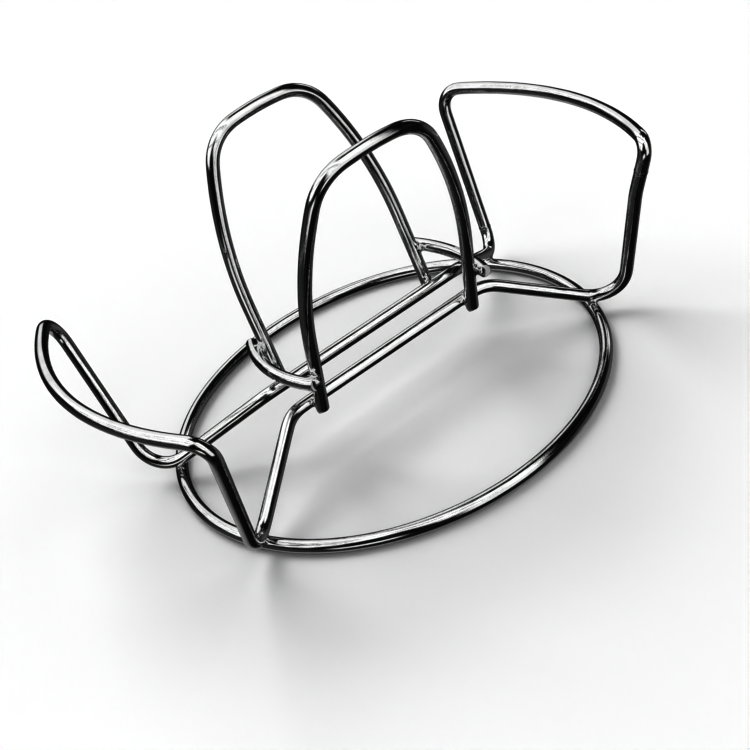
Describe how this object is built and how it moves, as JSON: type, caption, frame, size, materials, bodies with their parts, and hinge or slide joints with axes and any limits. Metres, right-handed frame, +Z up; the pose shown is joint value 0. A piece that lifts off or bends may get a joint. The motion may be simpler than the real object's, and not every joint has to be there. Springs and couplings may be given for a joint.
{
  "type": "bent wire stand",
  "caption": "Chromed wire stand with a round base ring, raised twin rails, an upright end loop at each side and two arches that lean apart over the rails.",
  "frame": {"origin": "middle of the stand, on the surface that its base ring rests on", "axes": "+Z up, +X along the rails towards the narrower end loop, -Y towards the arch that leans more"},
  "size_m": [0.2307, 0.18, 0.1246],
  "materials": {
    "chromed_wire": "polished",
    "weld_metal": "satin"
  },
  "bodies": {
    "root": {"base_ring": "chromed_wire", "frame_wire": "chromed_wire", "right_loop_bow": "chromed_wire", "front_arch": "chromed_wire", "back_arch": "chromed_wire", "left_tie": "chromed_wire", "right_tie": "chromed_wire", "ring_weld_front_left": "weld_metal", "ring_weld_front_right": "weld_metal", "ring_weld_back_left": "weld_metal", "ring_weld_back_right": "weld_metal", "arch_weld_front_left": "weld_metal", "arch_weld_front_right": "weld_metal", "arch_weld_back_left": "weld_metal", "arch_weld_back_right": "weld_metal", "tie_weld_front_left": "weld_metal", "tie_weld_front_right": "weld_metal", "tie_weld_back_left": "weld_metal", "tie_weld_back_right": "weld_metal", "butt_weld_front": "weld_metal", "butt_weld_back": "weld_metal"}
  },
  "joints": []
}
